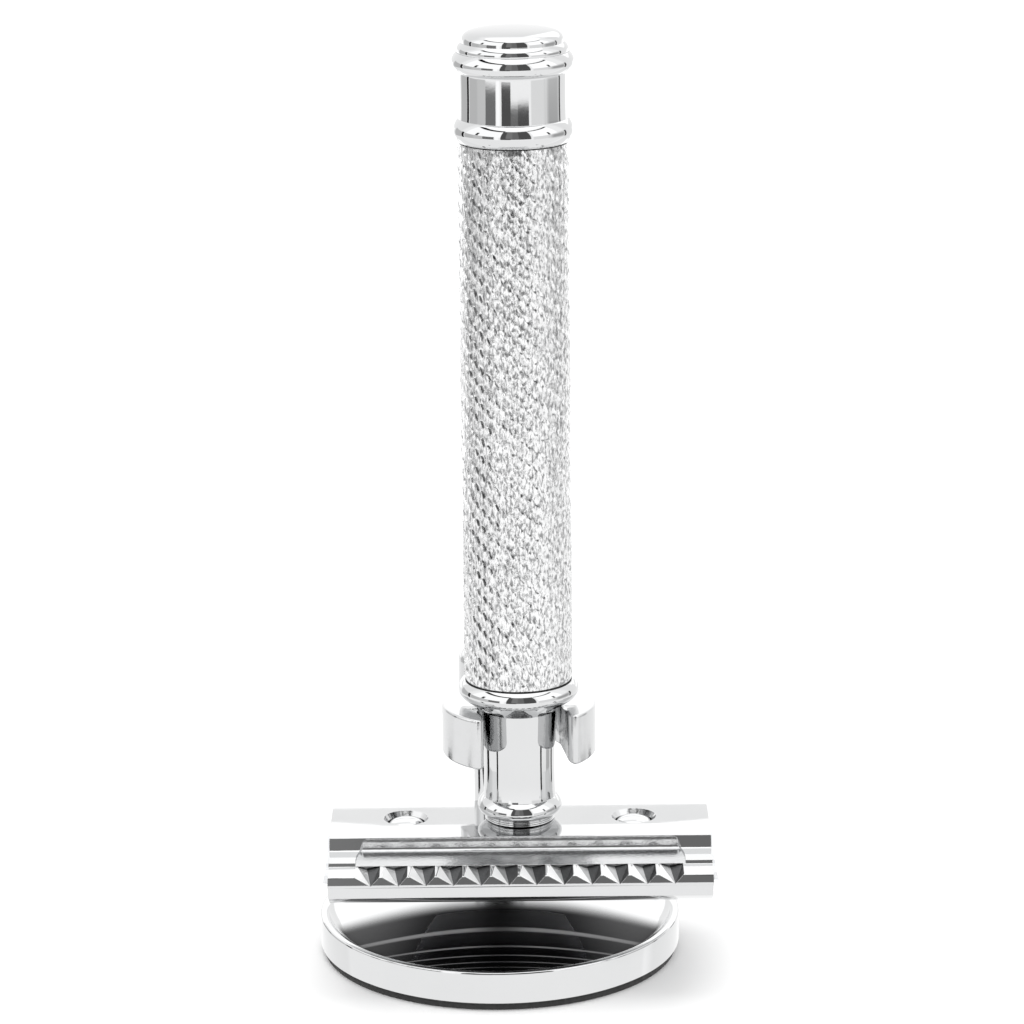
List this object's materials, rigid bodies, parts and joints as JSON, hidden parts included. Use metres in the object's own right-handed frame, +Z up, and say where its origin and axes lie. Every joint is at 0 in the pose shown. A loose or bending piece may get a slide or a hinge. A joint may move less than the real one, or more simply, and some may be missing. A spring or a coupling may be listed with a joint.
{
  "type": "safety razor on a stand",
  "caption": "Three-piece double-edge safety razor with a closed comb and knurled grip, hanging head down by its collar in the open fork of a round dished stand.",
  "frame": {"origin": "centre of the base's underside", "axes": "+Z up along the handle, -Y towards the front, where the fork opens, +X along the razor's head"},
  "size_m": [0.0439, 0.04, 0.104],
  "materials": {
    "stand_chrome": "polished chrome plate",
    "fork_chrome": "chrome plate over a soft cast surface",
    "handle_chrome": "mirror chrome on turned rings",
    "grip_chrome": "chrome over fine rolled knurling",
    "plate_chrome": "mirror chrome lands with rough cast pockets and notches",
    "cap_chrome": "mirror chrome",
    "blade_steel": "thin rolled stainless steel",
    "inner_steel": "plain steel",
    "insert_brass": "plain brass",
    "shim_plastic": "black plastic washer",
    "pad_rubber": "black non-slip pad"
  },
  "bodies": {
    "stand": {"base_dish": "stand_chrome", "base_weight": "inner_steel", "base_pad": "pad_rubber", "post": "stand_chrome", "post_screw": "inner_steel", "post_washer": "inner_steel", "fork": "fork_chrome", "fork_grub_screw": "inner_steel"},
    "plate": {"guard_plate": "plate_chrome"},
    "handle": {"end_knob": "handle_chrome", "upper_shim": "shim_plastic", "grip_sleeve": "grip_chrome", "lower_shim": "shim_plastic", "neck_ferrule": "handle_chrome", "core_rod": "inner_steel", "thread_insert": "insert_brass"},
    "cap": {"cap": "cap_chrome", "cap_stud": "inner_steel", "guide_pin_left": "cap_chrome", "guide_pin_right": "cap_chrome"},
    "blade": {"blade": "blade_steel"}
  },
  "joints": [
    {"name": "razor_lift_out", "type": "slide", "parent": "stand", "child": "plate", "axis": [0.134, -0.9301, 0.342], "range_m": [0, 0.02]},
    {"name": "handle_turn", "type": "hinge", "parent": "plate", "child": "handle", "pos_m": [0.00235, -0.00493, 0.0168], "axis": [0, 0, 1], "range_deg": [0, 1440]},
    {"name": "cap_drop", "type": "slide", "parent": "plate", "child": "cap", "axis": [0, 0, -1], "range_m": [0, 0.0032]},
    {"name": "blade_float", "type": "slide", "parent": "cap", "child": "blade", "axis": [0, 0, 1], "range_m": [0, 0.0016]}
  ],
  "couplings": [
    {"joint": "handle_turn", "follows": "cap_drop", "rad_per_m": 7854},
    {"joint": "blade_float", "follows": "cap_drop", "ratio": 0.5}
  ]
}
